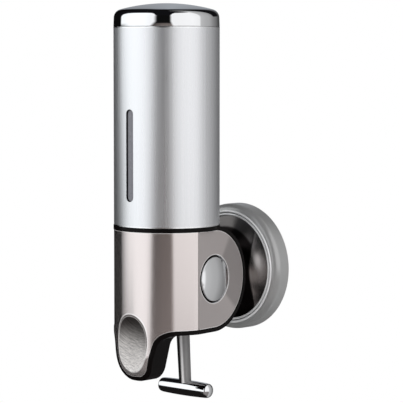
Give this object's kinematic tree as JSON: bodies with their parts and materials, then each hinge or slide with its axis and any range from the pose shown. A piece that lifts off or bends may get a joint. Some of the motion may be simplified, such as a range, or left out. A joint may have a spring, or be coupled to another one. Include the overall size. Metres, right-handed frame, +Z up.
{
  "type": "soap dispenser",
  "caption": "Wall-mounted soap dispenser: round steel tank with domed lid, steel-clad housing, slanted spout and a T-bar lever that works a pump.",
  "frame": {"origin": "centre of the wall face, behind the wall rose", "axes": "+Y into the wall, +Z up along the tank, -Y towards the user, X across"},
  "size_m": [0.0884, 0.1127, 0.2701],
  "materials": {
    "sleeve_steel": "satin",
    "cover_steel": "brushed",
    "liner_steel": "turned",
    "polished_chrome": "mirror",
    "black_plastic": "gloss",
    "tank_plastic": "translucent",
    "pump_plastic": "moulded",
    "seal_rubber": "matte",
    "steel_parts": "machined",
    "hub_metal": "painted"
  },
  "bodies": {
    "dispenser": {"sleeve": "sleeve_steel", "tank": "tank_plastic", "tank_seal": "seal_rubber", "tank_screws": "steel_parts", "core_body": "black_plastic", "housing_cover": "cover_steel", "pivot_cap_left": "polished_chrome", "pivot_cap_right": "polished_chrome", "chute_liner": "liner_steel", "nozzle_tip": "seal_rubber", "outlet_tube": "pump_plastic", "valve_head": "pump_plastic", "valve_cage": "pump_plastic", "pump_cylinder": "pump_plastic", "pump_screws": "steel_parts", "return_spring": "steel_parts", "pivot_pin": "steel_parts", "pivot_bushes": "pump_plastic", "neck": "black_plastic", "neck_screws": "steel_parts", "lock_screw": "steel_parts", "wall_plate": "steel_parts", "wall_rose": "polished_chrome"},
    "pull_lever": {"lever_hub": "hub_metal", "hub_set_screw": "steel_parts", "lever_stem": "polished_chrome", "t_bar": "polished_chrome"},
    "pump_plunger": {"plunger": "pump_plastic", "piston": "pump_plastic", "piston_seal": "seal_rubber"},
    "lid_group": {"lid": "polished_chrome", "lid_seal": "seal_rubber"},
    "valve_ball": {"inlet_ball": "steel_parts"}
  },
  "joints": [
    {"name": "lever_pull", "type": "hinge", "parent": "dispenser", "child": "pull_lever", "pos_m": [0, -0.0648, -0.0022], "axis": [-1, 0, 0], "range_deg": [0, 22], "stiffness_Nm_per_rad": 0.3, "springref_deg": -25.21},
    {"name": "pump_stroke", "type": "slide", "parent": "dispenser", "child": "pump_plunger", "axis": [0, 0, 1], "range_m": [0, 0.00634], "deforming": ["return_spring"]},
    {"name": "lid_lift", "type": "slide", "parent": "dispenser", "child": "lid_group", "axis": [0, 0, 1], "range_m": [0, 0.08]},
    {"name": "ball_float", "type": "slide", "parent": "dispenser", "child": "valve_ball", "axis": [0, 0, 1], "range_m": [0, 0.0011]}
  ],
  "couplings": [
    {"joint": "pump_stroke", "follows": "lever_pull", "m_per_rad": 0.0165}
  ]
}
